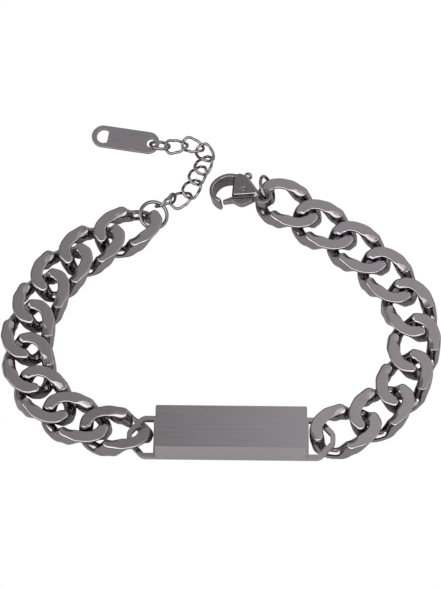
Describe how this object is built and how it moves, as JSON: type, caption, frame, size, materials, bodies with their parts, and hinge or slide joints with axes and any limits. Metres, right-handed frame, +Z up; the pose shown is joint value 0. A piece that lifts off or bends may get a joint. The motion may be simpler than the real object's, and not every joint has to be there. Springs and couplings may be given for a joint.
{
  "type": "identification bracelet",
  "caption": "Open curb-link bracelet with a solid name plate, a spring-lever lobster clasp and a fine extension chain that ends in a flat tag.",
  "frame": {"origin": "on the surface that the bracelet lies on, in the middle of its outline seen from above", "axes": "+Z up, out of the name plate's broad face; +X along the name plate towards the clasp's run of links; +Y from the name plate across the wrist opening towards the clasp"},
  "size_m": [0.089, 0.0828, 0.0071],
  "materials": {
    "plate_steel": "brushed along its length on top, polished sides and tabs",
    "link_steel": "flats ground and satin, shoulders and bores polished",
    "wire_steel": "polished drawn wire",
    "tag_steel": "satin faces, rounded edge",
    "clasp_steel": "satin faces, polished bevels"
  },
  "bodies": {
    "bracelet": {"id_plate": "plate_steel", "left_link_1": "link_steel", "left_link_2": "link_steel", "left_link_3": "link_steel", "left_link_4": "link_steel", "left_link_5": "link_steel", "left_link_6": "link_steel", "left_link_7": "link_steel", "left_link_8": "link_steel", "left_link_9": "link_steel", "right_link_1": "link_steel", "right_link_2": "link_steel", "right_link_3": "link_steel", "right_link_4": "link_steel", "right_link_5": "link_steel", "right_link_6": "link_steel", "right_link_7": "link_steel", "right_link_8": "link_steel", "right_link_9": "link_steel", "end_ring": "wire_steel", "ext_link_1": "wire_steel", "ext_link_2": "wire_steel", "ext_link_3": "wire_steel", "ext_link_4": "wire_steel", "ext_link_5": "wire_steel", "ext_link_6": "wire_steel", "ext_link_7": "wire_steel", "ext_link_8": "wire_steel", "tag_ring": "wire_steel", "tag": "tag_steel", "clasp_ring": "wire_steel", "clasp_body": "clasp_steel", "clasp_pin": "clasp_steel"},
    "lever": {"clasp_lever": "clasp_steel"}
  },
  "joints": [
    {"name": "lever_pivot", "type": "hinge", "parent": "bracelet", "child": "lever", "pos_m": [0.00446, 0.02298, 0.00299], "axis": [0.1769, -0.0775, -0.9812], "range_deg": [0, 30], "stiffness_Nm_per_rad": 0.004, "springref_deg": -20.05}
  ]
}
